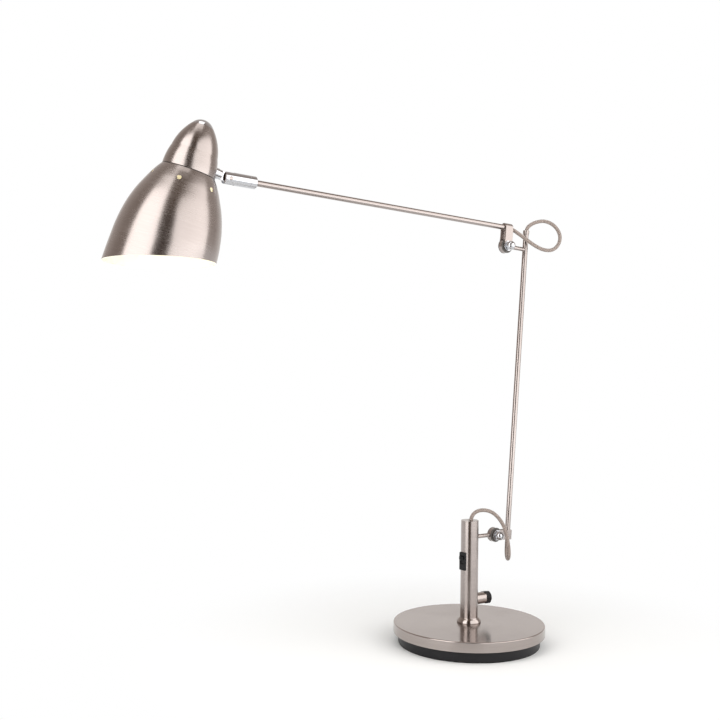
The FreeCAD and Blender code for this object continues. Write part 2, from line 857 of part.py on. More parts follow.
def bulb_neck_height():
    """Height of the glass's lower rim, where it leaves the screw base."""
    return bulb_screw_top - bulb_screw_length


def bulb_profile(inset):
    """Solid inside the glass's outer face, or with an inset the space inside its wall."""
    neck = bulb_neck_height()
    rim = at(bulb_screw_radius - inset, neck)
    holder_mouth = at(bulb_screw_radius - inset, -holder_drop)
    centre = -bulb_drop
    radius = bulb_radius - inset
    cheek = math.radians(bulb_cheek)
    meet = at(radius * math.cos(cheek), centre + radius * math.sin(cheek))
    return spun([
        line(at(0, neck), rim),
        line(rim, holder_mouth),
        line(holder_mouth, meet),
        arc(meet, at(radius, centre), at(0, centre - radius)),
        line(at(0, centre - radius), at(0, neck)),
    ])


def make_bulb_glass():
    return bulb_profile(0).cut(bulb_profile(bulb_wall))


def make_bulb_base():
    """Screw shell with its contact at the top, open towards the glass."""
    inside = bulb_screw_radius - bulb_wall
    screw = disc(bulb_screw_radius, bulb_neck_height(), bulb_screw_top)
    contact = Part.makeCone(
        bulb_screw_radius, bulb_contact_radius, bulb_contact_height, Vector(0, 0, bulb_screw_top)
    )
    return screw.fuse(contact).cut(disc(inside, bulb_neck_height(), bulb_screw_top))


# ---------- cord ----------

def cord_wire(points):
    """Straight runs between the points, joined by tangent arcs. Also gives the radii."""
    edges = []
    radii = []
    start = points[0]
    for before, corner, after in zip(points, points[1:], points[2:]):
        back = (before - corner).normalize()
        ahead = (after - corner).normalize()
        turn = math.pi - back.getAngle(ahead)
        run = min(before.distanceToPoint(corner), corner.distanceToPoint(after))
        radius = corner_share * run / math.tan(turn / 2)
        arc_start = corner + back * corner_share * run
        arc_end = corner + ahead * corner_share * run
        bisector = (back + ahead).normalize()
        middle = corner + bisector * (radius / math.cos(turn / 2) - radius)
        edges.append(line(start, arc_start))
        edges.append(arc(arc_start, middle, arc_end))
        radii.append(radius)
        start = arc_end
    edges.append(line(start, points[-1]))
    return Part.Wire(edges), radii


def make_cord(name, route):
    points = [Vector(*point) for point in route]
    wire, radii = cord_wire(points)
    section = Part.Wire(Part.makeCircle(cord_radius, points[0], points[1] - points[0]))
    tube = wire.makePipeShell([section], True, False)
    expected = math.pi * cord_radius ** 2 * wire.Length
    print(name, "length", round(wire.Length, 1), "volume ratio", round(tube.Volume / expected, 5))
    print(name, "radii", [round(radius, 1) for radius in radii])
    return tube


# ---------- the parts ----------

def save(name, shape):
    shape.exportStep("parts/" + name + ".step")
    print(name, len(shape.Solids), "solids", round(shape.Volume, 1), shape.isValid())


def main():
    os.makedirs("parts", exist_ok=True)

    save("base_cover", make_base_cover())
    save("base_weight", make_base_weight())
    save("base_tray", make_base_tray())
    save("foot_pad", make_foot_pad())
    save("tray_screws", make_tray_screws())
    save("base_rod", make_base_rod())
    save("base_washer", make_base_washer())
    save("base_nut", make_base_nut())

    save("post_tube", make_post_tube())
    save("post_collar", make_post_collar())
    save("post_insert", make_post_insert())
    save("post_cap", make_post_cap())
    save("post_stub", make_post_stub())
    save("switch_body", make_switch_body())
    save("switch_slider", make_switch_slider())
    save("gland_nipple", make_gland_nipple())
    save("gland_nut", make_gland_nut())

    save("lower_strap", in_frame(make_lower_strap(), lower_frame))
    save("lower_pivot_bolt", in_frame(make_pivot_bolt(), lower_frame))
    save("lower_acorn_nut", in_frame(make_acorn_nut(), lower_frame))
    save("lower_washers", in_frame(make_pivot_washers(), lower_frame))
    save("lower_arm_tube", in_frame(make_lower_arm_tube(), lower_frame))
    save("lower_arm_bush", in_frame(make_lower_arm_bush(), lower_frame))
    save("elbow_stub", in_frame(moved(make_elbow_stub(), z=elbow_height), lower_frame))

    save("elbow_strap", in_frame(make_upper_strap(), upper_frame))
    save("elbow_bolt", in_frame(make_pivot_bolt(), upper_frame))
    save("elbow_acorn_nut", in_frame(make_acorn_nut(), upper_frame))
    save("elbow_washers", in_frame(make_pivot_washers(), upper_frame))
    save("upper_arm_tube", in_frame(make_upper_arm_tube(), upper_frame))
    save("swivel_collar", in_frame(make_swivel_collar(), upper_frame))

    save("knuckle_body", in_frame(make_knuckle_body(), knuckle_frame))
    save("knuckle_pin", in_frame(make_knuckle_pin(), knuckle_frame))

    save("head_stud", in_frame(make_head_stud(), shade_frame))
    save("stud_collar", in_frame(make_stud_collar(), shade_frame))
    save("stud_nut", in_frame(make_stud_nut(), shade_frame))
    save("cup", in_frame(make_cup(), shade_frame))
    save("finial", in_frame(make_finial(), shade_frame))
    save("head_nipple", in_frame(make_head_nipple(), shade_frame))
    save("holder_body", in_frame(make_holder_body(), shade_frame))
    save("holder_ring", in_frame(make_holder_ring(), shade_frame))
    save("holder_cap", in_frame(make_holder_cap(), shade_frame))
    save("shade", in_frame(make_shade(), shade_frame))
    save("bulb_glass", in_frame(make_bulb_glass(), shade_frame))
    save("bulb_base", in_frame(make_bulb_base(), shade_frame))

    save("lower_loop_cord", make_cord("lower_loop_cord", lower_loop_route))
    save("elbow_loop_cord", make_cord("elbow_loop_cord", elbow_loop_route))

    print("elbow pivot", elbow_pivot)
    print("shade pivot", shade_pivot)
    print("seam centre", shade_frame.Base)
    print("tilt axis", knuckle_frame.Rotation.multVec(Y_AXIS))
    print("arm axis", upper_frame.Rotation.multVec(Vector(0, 0, 1)))
    print("shade axis", shade_frame.Rotation.multVec(Vector(0, 0, 1)))


main()
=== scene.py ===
"""Looks of a dome shade desk lamp, dressed over its construction.

Every size is in metres, in the frame of the construction: +Z is up and the origin is the
middle of the base's underside. Lengths of this object are written in millimetres times MM.
"""

import math

import bmesh
import bpy
from bpy.props import FloatProperty, FloatVectorProperty, IntProperty, PointerProperty
from mathutils import Matrix, Vector


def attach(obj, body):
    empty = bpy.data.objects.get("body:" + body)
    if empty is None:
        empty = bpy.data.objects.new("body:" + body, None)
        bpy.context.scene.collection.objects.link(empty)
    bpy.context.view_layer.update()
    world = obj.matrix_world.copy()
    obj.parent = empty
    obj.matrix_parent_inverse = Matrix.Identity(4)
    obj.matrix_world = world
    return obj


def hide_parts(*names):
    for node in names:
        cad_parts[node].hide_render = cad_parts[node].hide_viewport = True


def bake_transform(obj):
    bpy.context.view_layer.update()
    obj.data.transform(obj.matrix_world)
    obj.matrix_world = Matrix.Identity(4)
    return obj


bl_info = {
    "name": "Dome shade desk lamp",
    "version": (1, 0, 0),
    "blender": (4, 5, 0),
    "location": "View3D > Sidebar > Desk lamp",
    "description": "Builds the finish of a desk lamp with a dome shade over its construction",
    "category": "Object",
}

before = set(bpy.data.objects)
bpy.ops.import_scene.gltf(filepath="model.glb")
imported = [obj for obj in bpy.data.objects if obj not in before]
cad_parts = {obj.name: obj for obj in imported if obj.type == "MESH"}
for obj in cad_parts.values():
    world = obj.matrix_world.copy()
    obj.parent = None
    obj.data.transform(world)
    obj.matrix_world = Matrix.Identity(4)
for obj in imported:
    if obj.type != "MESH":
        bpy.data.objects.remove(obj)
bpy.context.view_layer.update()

MM = 0.001


def linear(hex_text):
    """sRGB hex colour as linear red, green, blue."""
    values = []
    for place in (0, 2, 4):
        part = int(hex_text[place:place + 2], 16) / 255
        values.append(part / 12.92 if part <= 0.04045 else ((part + 0.055) / 1.055) ** 2.4)
    return tuple(values)


def point(x, y, z):
    """Point of the construction from millimetres."""
    return Vector((x, y, z)) * MM


# ---------- places of the construction ----------

UP = Vector((0, 0, 1))
ACROSS = Vector((0, 1, 0))
LOWER_PIVOT = point(38.3, 0, 126.2)
ELBOW_PIVOT = point(50.9075, 0, 478.0072)
SHADE_PIVOT = point(-321.9866, 0, 521.1976)
LOWER_LEAN = math.radians(3.9)    # of the lower arm from upright
LOWER_AXIS = Vector((math.sin(LOWER_LEAN), 0, math.cos(LOWER_LEAN)))
UPPER_AXIS = Vector((-0.99849867, 0, 0.05477591))
LOWER_TUBE_SIDE = 20.9 * MM       # from the lower pivot to the lower tube's axis
UPPER_TUBE_SIDE = 22.7 * MM       # from the elbow's pivot to the upper tube's axis
LOWER_TUBE = LOWER_PIVOT + LOWER_AXIS.cross(ACROSS) * -LOWER_TUBE_SIDE
UPPER_TUBE = ELBOW_PIVOT + UPPER_AXIS.cross(ACROSS) * -UPPER_TUBE_SIDE
INLET = point(0, 0, 51.5)         # where the cord inlet's axis meets the post's
SEAM = point(-366.1220, 0.0516, 523.2924)  # between the cup and the shade, on their axis
SHADE_AXIS = Vector((0.24464553, -0.15352898, 0.95738050))
STUD_AXIS = Vector((0.96957472, 0.03000989, -0.2429491))


def frame_on(origin, z_axis, x_hint):
    """Matrix of a frame with the given origin and Z axis, its X axis near the hint."""
    z_axis = z_axis.normalized()
    y_axis = z_axis.cross(x_hint).normalized()
    x_axis = y_axis.cross(z_axis)
    placed = Matrix((x_axis, y_axis, z_axis)).transposed().to_4x4()
    placed.translation = origin
    return placed


SHADE_FRAME = frame_on(SEAM, SHADE_AXIS, STUD_AXIS)

# ---------- settings that a user would change ----------


class LampColours(bpy.types.PropertyGroup):
    """Colours of the finishes."""

    nickel: FloatVectorProperty(
        name="Nickel", description="Colour of the brushed nickel",
        subtype="COLOR", size=3, min=0, max=1, default=linear("a89f9b"),
    )
    chrome: FloatVectorProperty(
        name="Chrome", description="Colour of the polished chrome",
        subtype="COLOR", size=3, min=0, max=1, default=linear("c9cacd"),
    )
    enamel: FloatVectorProperty(
        name="Enamel", description="Colour of the enamel inside the shade",
        subtype="COLOR", size=3, min=0, max=1, default=linear("fbf8e8"),
    )
    braid: FloatVectorProperty(
        name="Braid", description="Colour of the cord's textile braid",
        subtype="COLOR", size=3, min=0, max=1, default=linear("90827a"),
    )
    black: FloatVectorProperty(
        name="Black", description="Colour of the painted tray and the black plastic",
        subtype="COLOR", size=3, min=0, max=1, default=linear("141316"),
    )
    glow: FloatVectorProperty(
        name="Glow", description="Colour of the lit bulb",
        subtype="COLOR", size=3, min=0, max=1, default=linear("fff3dc"),
    )


class LampSizes(bpy.types.PropertyGroup):
    """Sizes of the finish."""

    edge: FloatProperty(
        name="Broken edge", description="Width of the bevel on cut edges",
        subtype="DISTANCE", unit="LENGTH", min=0.0, max=0.001, default=0.22 * MM,
    )
    shade_wall: FloatProperty(
        name="Shade wall", description="Thickness of the shade's sheet",
        subtype="DISTANCE", unit="LENGTH", min=0.0003, max=0.002, default=0.8 * MM,
    )
    cord: FloatProperty(
        name="Cord", description="Diameter of the cord",
        subtype="DISTANCE", unit="LENGTH", min=0.002, max=0.008, default=4.5 * MM,
    )
    braid_pitch: FloatProperty(
        name="Braid pitch", description="Length along the cord of one thread crossing",
        subtype="DISTANCE", unit="LENGTH", min=0.0005, max=0.01, default=2.2 * MM,
    )
    glow: FloatProperty(
        name="Glow", description="Strength of the lit bulb", subtype="FACTOR",
        min=0.0, max=50.0, default=1.6,
    )
    round_steps: IntProperty(
        name="Round steps", description="Faces round a turned piece",
        min=24, max=256, default=128,
    )


def colours():
    return bpy.context.scene.lamp_colours


def sizes():
    return bpy.context.scene.lamp_sizes


# ---------- materials ----------


def add(tree, kind, inputs=None, **settings):
    """Adds a node with its settings, and sets or links its inputs by name or number."""
    made = tree.nodes.new(kind)
    for name, value in settings.items():
        setattr(made, name, value)
    for name, value in (inputs or {}).items():
        socket = made.inputs[name]
        if isinstance(value, bpy.types.NodeSocket):
            tree.links.new(value, socket)
        else:
            socket.default_value = value
    return made


def calculate(tree, operation, *values):
    """Result of a math node."""
    made = add(tree, "ShaderNodeMath", dict(enumerate(values)), operation=operation)
    return made.outputs["Value"]


def combine(tree, operation, inputs, result="Vector"):
    """Result of a vector math node with inputs by their numbers."""
    return add(tree, "ShaderNodeVectorMath", inputs, operation=operation).outputs[result]


def spread(tree, value, low, high, to_low=0.0, to_high=1.0, **settings):
    """The value with low to high spread over to_low to to_high, and held at these ends."""
    return add(
        tree, "ShaderNodeMapRange",
        {"Value": value, "From Min": low, "From Max": high,
         "To Min": to_low, "To Max": to_high},
        **settings,
    ).outputs["Result"]


def blended(tree, share, first, second):
    """Colour that goes from the first to the second as the share goes from 0 to 1."""
    return add(
        tree, "ShaderNodeMix", {"Factor": share, 6: first, 7: second}, data_type="RGBA",
    ).outputs[2]


def noise(tree, inputs, **settings):
    """Values of a noise texture."""
    return add(tree, "ShaderNodeTexNoise", inputs, **settings).outputs["Fac"]


def new_material(name):
    """Material with no nodes."""
    made = bpy.data.materials.new(name)
    made.use_nodes = True
    made.node_tree.nodes.clear()
    return made


def finish_material(made, inputs):
    """Adds the shader with its inputs and joins it to the output."""
    tree = made.node_tree
    shader = add(tree, "ShaderNodeBsdfPrincipled", inputs)
    add(tree, "ShaderNodeOutputMaterial", {"Surface": shader.outputs["BSDF"]})
    return made


def rgba(colour, share=1.0):
    """Linear colour with alpha, made lighter or darker by a share."""
    return tuple(min(1.0, part * share) for part in colour) + (1.0,)


NOISE_LOW, NOISE_HIGH = 0.3, 0.7  # most of a noise texture's values lie between these
ARC_CELLS = 1.6                   # noise cells per radius round a ring: a third of a turn each
CLOUD_SIZE = 30 * MM              # patches of a faint uneven polish
CLOUD_SWING = 0.025               # what the patches change in roughness
LINE_SWING = 0.02                 # what a brushed line changes in roughness
# painted shadow line along the seam between the cup and the shade: fully dark up to the first
# distance, faded out by the second
SEAM_SHADOW_FULL, SEAM_SHADOW_END = 0.35 * MM, 0.6 * MM     # distances from the seam's plane


def brushed(name, colour, centre, axis, roughness, line, contrast):
    """Metal that was brushed while it turned about an axis.

    Fine rings run round the axis, so lights draw out along it. The rings are about a tenth
    of a millimetre on the real one, too fine to show, so they are drawn as wide as line.
    """
    made = new_material(name)
    tree = made.node_tree
    place = add(tree, "ShaderNodeTexCoord").outputs["Object"]
    arm = combine(tree, "SUBTRACT", {0: place, 1: centre})
    height = combine(tree, "DOT_PRODUCT", {0: arm, 1: axis}, "Value")
    around = combine(tree, "CROSS_PRODUCT", {0: axis, 1: arm})
    radius = combine(tree, "LENGTH", {0: around}, "Value")
    way = combine(tree, "NORMALIZE", {0: around})
    arcs = combine(tree, "SCALE", {0: way, 3: ARC_CELLS})
    levels = combine(tree, "SCALE", {0: axis, 3: calculate(tree, "MULTIPLY", height, 1 / line)})
    grain = noise(tree, {
        "Vector": combine(tree, "ADD", {0: arcs, 1: levels}),
        "W": calculate(tree, "MULTIPLY", radius, 1 / line),
        "Scale": 1.0, "Detail": 2.0, "Roughness": 0.5,
    }, noise_dimensions="4D")
    cloud = noise(tree, {"Vector": place, "Scale": 1 / CLOUD_SIZE, "Detail": 2.0})
    tone = spread(tree, grain, NOISE_LOW, NOISE_HIGH)
    tint = blended(tree, tone, rgba(colour, 1 - contrast), rgba(colour, 1 + contrast))
    if centre == SEAM:
        # painted shadow: a dark line along the seam between the cup and the shade
        beyond_seam_shadow = spread(tree, calculate(tree, "ABSOLUTE", height), SEAM_SHADOW_FULL, SEAM_SHADOW_END)
        tint = blended(tree, beyond_seam_shadow, rgba(colour, 0.12), tint)
    matt = spread(
        tree, cloud, NOISE_LOW, NOISE_HIGH, roughness - CLOUD_SWING, roughness + CLOUD_SWING,
    )
    gloss = spread(tree, grain, 0.25, 0.75, -LINE_SWING, LINE_SWING)
    relief = add(
        tree, "ShaderNodeBump", {"Strength": 0.05, "Distance": 0.02 * MM, "Height": grain},
    )
    tangent = add(
        tree, "ShaderNodeVectorTransform", {"Vector": way},
        vector_type="VECTOR", convert_from="OBJECT", convert_to="WORLD",
    )
    return finish_material(made, {
        "Base Color": tint, "Metallic": 1.0, "Roughness": calculate(tree, "ADD", matt, gloss),
        "Normal": relief.outputs["Normal"], "Anisotropic": 0.55, "Anisotropic Rotation": 0.25,
        "Tangent": tangent.outputs["Vector"],
    })


def speckled(name, colour, roughness, grit, relief, contrast, more):
    """Finish with an even fine grain in every direction, grit across."""
    made = new_material(name)
    tree = made.node_tree
    place = add(tree, "ShaderNodeTexCoord").outputs["Object"]
    grain = noise(
        tree, {"Vector": place, "Scale": 1 / grit, "Detail": 3.0, "Roughness": 0.55},
    )
    tone = spread(tree, grain, NOISE_LOW, NOISE_HIGH)
    rough = spread(
        tree, grain, NOISE_LOW, NOISE_HIGH, max(roughness - 0.05, 0.0), roughness + 0.05,
    )
    bump = add(tree, "ShaderNodeBump", {"Strength": 0.3, "Distance": relief, "Height": grain})
    inputs = {
        "Base Color": blended(
            tree, tone, rgba(colour, 1 - contrast), rgba(colour, 1 + contrast),
        ),
        "Roughness": rough, "Normal": bump.outputs["Normal"],
    }
    inputs.update(more)
    return finish_material(made, inputs)


BRAID_TURNS = 8.0 * math.pi       # phase of a thread's wave over one turn round the cord
FLUFF_SCALE = 700.0               # fluff of about 1.4 mm on the threads


def woven_braid(name, colour, pitch):
    """Textile braid over a cord: threads cross on the diagonal, U along and V around it.

    The real threads are about 0.3 mm wide, so they are drawn in bundles a pitch long.
    """
    made = new_material(name)
    tree = made.node_tree
    place = add(tree, "ShaderNodeUVMap", uv_map="braid").outputs["UV"]
    parts = add(tree, "ShaderNodeSeparateXYZ", {"Vector": place})
    along, round_it = parts.outputs["X"], parts.outputs["Y"]
    strands = []
    for hand in (1, -1):
        phase = calculate(tree, "MULTIPLY", round_it, hand * BRAID_TURNS)
        wave = calculate(tree, "MULTIPLY_ADD", along, 2 * math.pi / pitch, phase)
        strands.append(calculate(tree, "SINE", wave))
    over = calculate(tree, "MAXIMUM", strands[0], strands[1])
    fluff = noise(tree, {"Vector": place, "Scale": FLUFF_SCALE, "Detail": 2.0})
    height = calculate(tree, "MULTIPLY_ADD", fluff, 0.6, over)
    # the colour darkens where the threads lie low: painted shade between the threads, with
    # random tone from the fluff
    tone = spread(tree, height, -0.3, 1.4)
    bump = add(
        tree, "ShaderNodeBump", {"Strength": 0.7, "Distance": 0.25 * MM, "Height": height},
    )
    return finish_material(made, {
        "Base Color": blended(tree, tone, rgba(colour, 0.5), rgba(colour, 1.25)),
        "Roughness": 0.72, "Sheen Weight": 0.25, "Sheen Roughness": 0.5,
        "Normal": bump.outputs["Normal"],
    })


# Satin nickel on spun and drawn steel, brushed while it turned: the turning's centre and
# axis, the roughness, the width of a line in millimetres and its contrast
BRUSHED = {
    "nickel_upright": (Vector((0, 0, 0)), UP, 0.20, 0.9, 0.05),
    "nickel_post": (Vector((0, 0, 0)), UP, 0.24, 0.9, 0.05),
    "nickel_shade": (SEAM, SHADE_AXIS, 0.26, 1.2, 0.03),
    "nickel_cup": (SEAM, SHADE_AXIS, 0.26, 1.6, 0.03),
    "nickel_stud": (SHADE_PIVOT, STUD_AXIS, 0.22, 0.7, 0.04),
    "nickel_lower": (LOWER_TUBE, LOWER_AXIS, 0.20, 2.5, 0.02),
    "nickel_upper": (UPPER_TUBE, UPPER_AXIS, 0.20, 2.5, 0.02),
    "nickel_lower_eye": (LOWER_PIVOT, ACROSS, 0.26, 1.6, 0.02),
    "nickel_elbow_eye": (ELBOW_PIVOT, ACROSS, 0.26, 1.6, 0.02),
    "nickel_inlet": (INLET, Vector((1, 0, 0)), 0.24, 0.7, 0.05),
}

# Finishes with an even grain: the colour, as hex or by its name in the settings, the
# roughness, the grain's width and relief in millimetres, its contrast, and other inputs
SPECKLED = {
    # mirror chrome: sharp dark and bright reflections with faint smears
    "chrome_polished": ("chrome", 0.07, 9, 0.002, 0.02, {"Metallic": 1.0}),
    # white enamel sprayed inside the shade: soft gloss, slight orange peel of 2 mm
    "enamel_white": (
        "enamel", 0.35, 2.0, 0.03, 0.015, {"Coat Weight": 0.2, "Coat Roughness": 0.2},
    ),
    # semi-gloss black paint on the pressed tray, fine orange peel
    "paint_black": ("black", 0.34, 1.6, 0.03, 0.10, {"Specular IOR Level": 0.3}),
    # foam rubber pad: matt, with a coarse grain of about 1 mm
    "rubber_pad": ("1b1b1c", 0.85, 1.0, 0.12, 0.25, {}),
    # moulded black nylon: satin, with a fine spark-eroded grain
    "plastic_black": ("101012", 0.42, 0.8, 0.03, 0.12, {"Specular IOR Level": 0.3}),
    # moulded white holder of glass filled polyester: satin
    "plastic_holder": ("e9e6dc", 0.45, 1.2, 0.03, 0.03, {}),
    # turned grey nylon friction washer
    "nylon_washer": ("54504c", 0.5, 0.8, 0.02, 0.10, {}),
    # cast iron weight, left as cast: dull grey with a coarse sandy skin
    "iron_cast": ("4b4846", 0.7, 2.5, 0.3, 0.25, {"Metallic": 0.8}),
    # zinc plated steel hardware: bright grey, slightly cloudy
    "zinc_plated": ("b4b6b8", 0.3, 3.0, 0.01, 0.10, {"Metallic": 1.0}),
    # pressed brass screw shell
    "brass_screw_shell": ("c9a765", 0.28, 3.0, 0.01, 0.06, {"Metallic": 1.0}),
    # etched glass of the lit bulb: an even warm glow, which finish_of adds
    "glass_frosted": ("f7f3ea", 0.4, 1.5, 0.01, 0.01, {}),
}

finishes = {}


def make_finish(name):
    """New finish by its name."""
    if name == "braid_textile":
        # woven textile braid: matt, with crossing threads
        return woven_braid(name, colours().braid, sizes().braid_pitch)
    if name in BRUSHED:
        centre, axis, roughness, line, contrast = BRUSHED[name]
        return brushed(name, colours().nickel, centre, axis, roughness, line * MM, contrast)
    shown, roughness, grit, relief, contrast, more = SPECKLED[name]
    colour = getattr(colours(), shown) if hasattr(colours(), shown) else linear(shown)
    if name == "glass_frosted":
        more = {"Emission Color": rgba(colours().glow), "Emission Strength": sizes().glow}
    return speckled(name, colour, roughness, grit * MM, relief * MM, contrast, more)


def finish_of(name):
    """Finish by its name, made when it is first asked for."""
    if name not in finishes:
        finishes[name] = make_finish(name)
    return finishes[name]


# ---------- pieces ----------

SMOOTH_BELOW = math.radians(32.0)       # faces that meet at less are shaded as one
BEVEL_ABOVE = math.radians(28.0)        # edges between faces that meet at more are broken


def smooth_by_angle(mesh):
    mesh.shade_smooth()
    mesh.set_sharp_from_angle(angle=SMOOTH_BELOW)


def link(made):
    """Puts an object in the scene."""
    bpy.context.scene.collection.objects.link(made)
    return made


def as_piece(bm, name, node, finish_name, body):
    """Turns a bmesh into a finished piece on a body, in place of a construction node."""
    mesh = bpy.data.meshes.new(name)
    bm.to_mesh(mesh)
    bm.free()
    mesh.materials.append(finish_of(finish_name))
    smooth_by_angle(mesh)
    made = link(bpy.data.objects.new(name, mesh))
    normals = made.modifiers.new("even_normals", "WEIGHTED_NORMAL")
    normals.keep_sharp = True
    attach(made, body)
    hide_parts(node)


def outline_points(corners, steps=6):
    """Points along a smooth line through (radius, height, kind) corners, in millimetres.

    Kind "smooth" rounds the line through the corner and "sharp" leaves a corner there.
    """
    data = bpy.data.curves.new("outline", "CURVE")
    data.dimensions = "3D"
    data.resolution_u = steps
    spline = data.splines.new("BEZIER")
    spline.bezier_points.add(len(corners) - 1)
    for knot, (radius, height, kind) in zip(spline.bezier_points, corners):
        knot.co = (radius, 0, height)
        handle = "AUTO" if kind == "smooth" else "VECTOR"
        knot.handle_left_type = handle
        knot.handle_right_type = handle
    holder = link(bpy.data.objects.new("outline", data))
    line = bpy.data.meshes.new_from_object(holder)
    found = [(vertex.co.x, vertex.co.z) for vertex in line.vertices]
    bpy.data.objects.remove(holder)
    bpy.data.curves.remove(data)
    bpy.data.meshes.remove(line)
    return found


def turned(outline, closed=True, steps=None):
    """Bmesh of an outline of (radius, height) in millimetres, spun about the Z axis."""
    bm = bmesh.new()
    corners = [bm.verts.new((radius * MM, 0, height * MM)) for radius, height in outline]
    edges = [bm.edges.new(pair) for pair in zip(corners, corners[1:])]
    if closed:
        edges.append(bm.edges.new((corners[-1], corners[0])))
    bmesh.ops.spin(
        bm, geom=corners + edges, cent=(0, 0, 0), axis=(0, 0, 1), dvec=(0, 0, 0),
        angle=2 * math.pi, steps=steps or sizes().round_steps, use_merge=True,
        use_normal_flip=False, use_duplicate=False,
    )
    bmesh.ops.remove_doubles(bm, verts=bm.verts, dist=0.001 * MM)
    bmesh.ops.recalc_face_normals(bm, faces=bm.faces)
    return bm


def break_edges(bm, width, above=BEVEL_ABOVE, segments=2):
    """Rounds the edges between faces that meet at more than an angle."""
    sharp = [
        edge for edge in bm.edges
        if len(edge.link_faces) == 2 and edge.calc_face_angle(0) > above
    ]
    bmesh.ops.bevel(
        bm, geom=sharp, offset=width, offset_type="OFFSET", segments=segments, profile=0.5,
        affect="EDGES", clamp_overlap=True, material=-1, loop_slide=True,
    )


def copied(node):
    """Bmesh of a construction node's shape with its flat triangles merged."""
    bm = bmesh.new()
    bm.from_mesh(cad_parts[node].data)
    bmesh.ops.remove_doubles(bm, verts=bm.verts, dist=0.002 * MM)
    bmesh.ops.dissolve_limit(
        bm, angle_limit=math.radians(0.6), use_dissolve_boundaries=False,
        verts=bm.verts, edges=bm.edges,
    )
    bmesh.ops.recalc_face_normals(bm, faces=bm.faces)
    return bm


def dressed(name, node, finish_name, body, width=None):
    """Piece in a construction node's shape, its edges broken by a width in millimetres."""
    bm = copied(node)
    break_edges(bm, sizes().edge if width is None else width * MM)
    as_piece(bm, name, node, finish_name, body)


def painted(node, finish_name):
    """Gives a construction node a finish of its own."""
    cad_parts[node].material_slots[0].material = finish_of(finish_name)


# ---------- stage ----------

CAMERA_PLACE = point(-772.3, -944.1, 336.7)
CAMERA_AHEAD = Vector((0.5446, 0.8387, 0))
CAMERA_ROLL = 0.011               # radians, of the photograph's tripod
CAMERA_LENS = 50.67               # millimetres
SENSOR_WIDTH = 36.0               # millimetres

# Softboxes: degrees from the camera's side towards the right, degrees up, distance, width
# and height in metres, power in watts, and the spot that it faces in millimetres. A gap
# between the two at the sides draws the dark stripe down the shade and the post.
SOFTBOXES = {
    "softbox_left": (-24, 0, 0.6, 0.745, 2.2, 14, (-500, 176, 600)),
    "softbox_right": (54, 0, 1.2, 2.3, 2.2, 31, (0, 0, 600)),
    "softbox_top": (0, 86, 1.9, 0.9, 0.9, 4, (-150, 0, 250)),
}
WHITE = rgba(linear("ffffff"))
ROOM_LIGHT = 0.55                 # strength of the world where it lights the lamp
# what metal sees of the room, from behind the camera (0) to the backdrop (1)
ROOM_TONES = (
    (0.0, "3a2a1e"), (0.2, "6c5a4a"), (0.5, "a89c94"), (0.8, "c8beb8"), (1.0, "f6f3f0"),
)
FLOOR_RADIUS = 6.0                # metres
FADE_START, FADE_END = 0.12, 0.42  # metres from the middle, where the paper turns white
GAP_TURN = math.radians(8)        # the gap's middle is so far left of the camera
GAP_EDGE, GAP_END = math.radians(15), math.radians(21)


def make_camera():
    data = bpy.data.cameras.new("camera")
    data.lens = CAMERA_LENS
    data.sensor_width = SENSOR_WIDTH
    data.clip_start = 0.05
    data.clip_end = 50.0
    camera = link(bpy.data.objects.new("camera", data))
    ahead = CAMERA_AHEAD.normalized()
    level = ahead.cross(UP)
    right = level * math.cos(CAMERA_ROLL) + UP * math.sin(CAMERA_ROLL)
    above = UP * math.cos(CAMERA_ROLL) - level * math.sin(CAMERA_ROLL)
    camera.matrix_world = Matrix((
        (right.x, above.x, -ahead.x, CAMERA_PLACE.x),
        (right.y, above.y, -ahead.y, CAMERA_PLACE.y),
        (right.z, above.z, -ahead.z, CAMERA_PLACE.z),
        (0, 0, 0, 1),
    ))
    bpy.context.scene.camera = camera


def make_softbox(name, degrees, lift, distance, width, height, power, middle):
    """Softbox that faces a spot, as a row of SOFTBOXES says."""
    back = -CAMERA_AHEAD.normalized()
    right = CAMERA_AHEAD.normalized().cross(UP)
    turn, rise = math.radians(degrees), math.radians(lift)
    level = back * math.cos(turn) + right * math.sin(turn)
    way = level * math.cos(rise) + UP * math.sin(rise)
    data = bpy.data.lights.new(name, "AREA")
    data.shape = "RECTANGLE"
    data.size = width
    data.size_y = height
    data.energy = power
    box = link(bpy.data.objects.new(name, data))
    box.location = point(*middle) + way * distance
    box.visible_camera = False
    box.rotation_mode = "QUATERNION"
    box.rotation_quaternion = way.to_track_quat("Z", "Y")


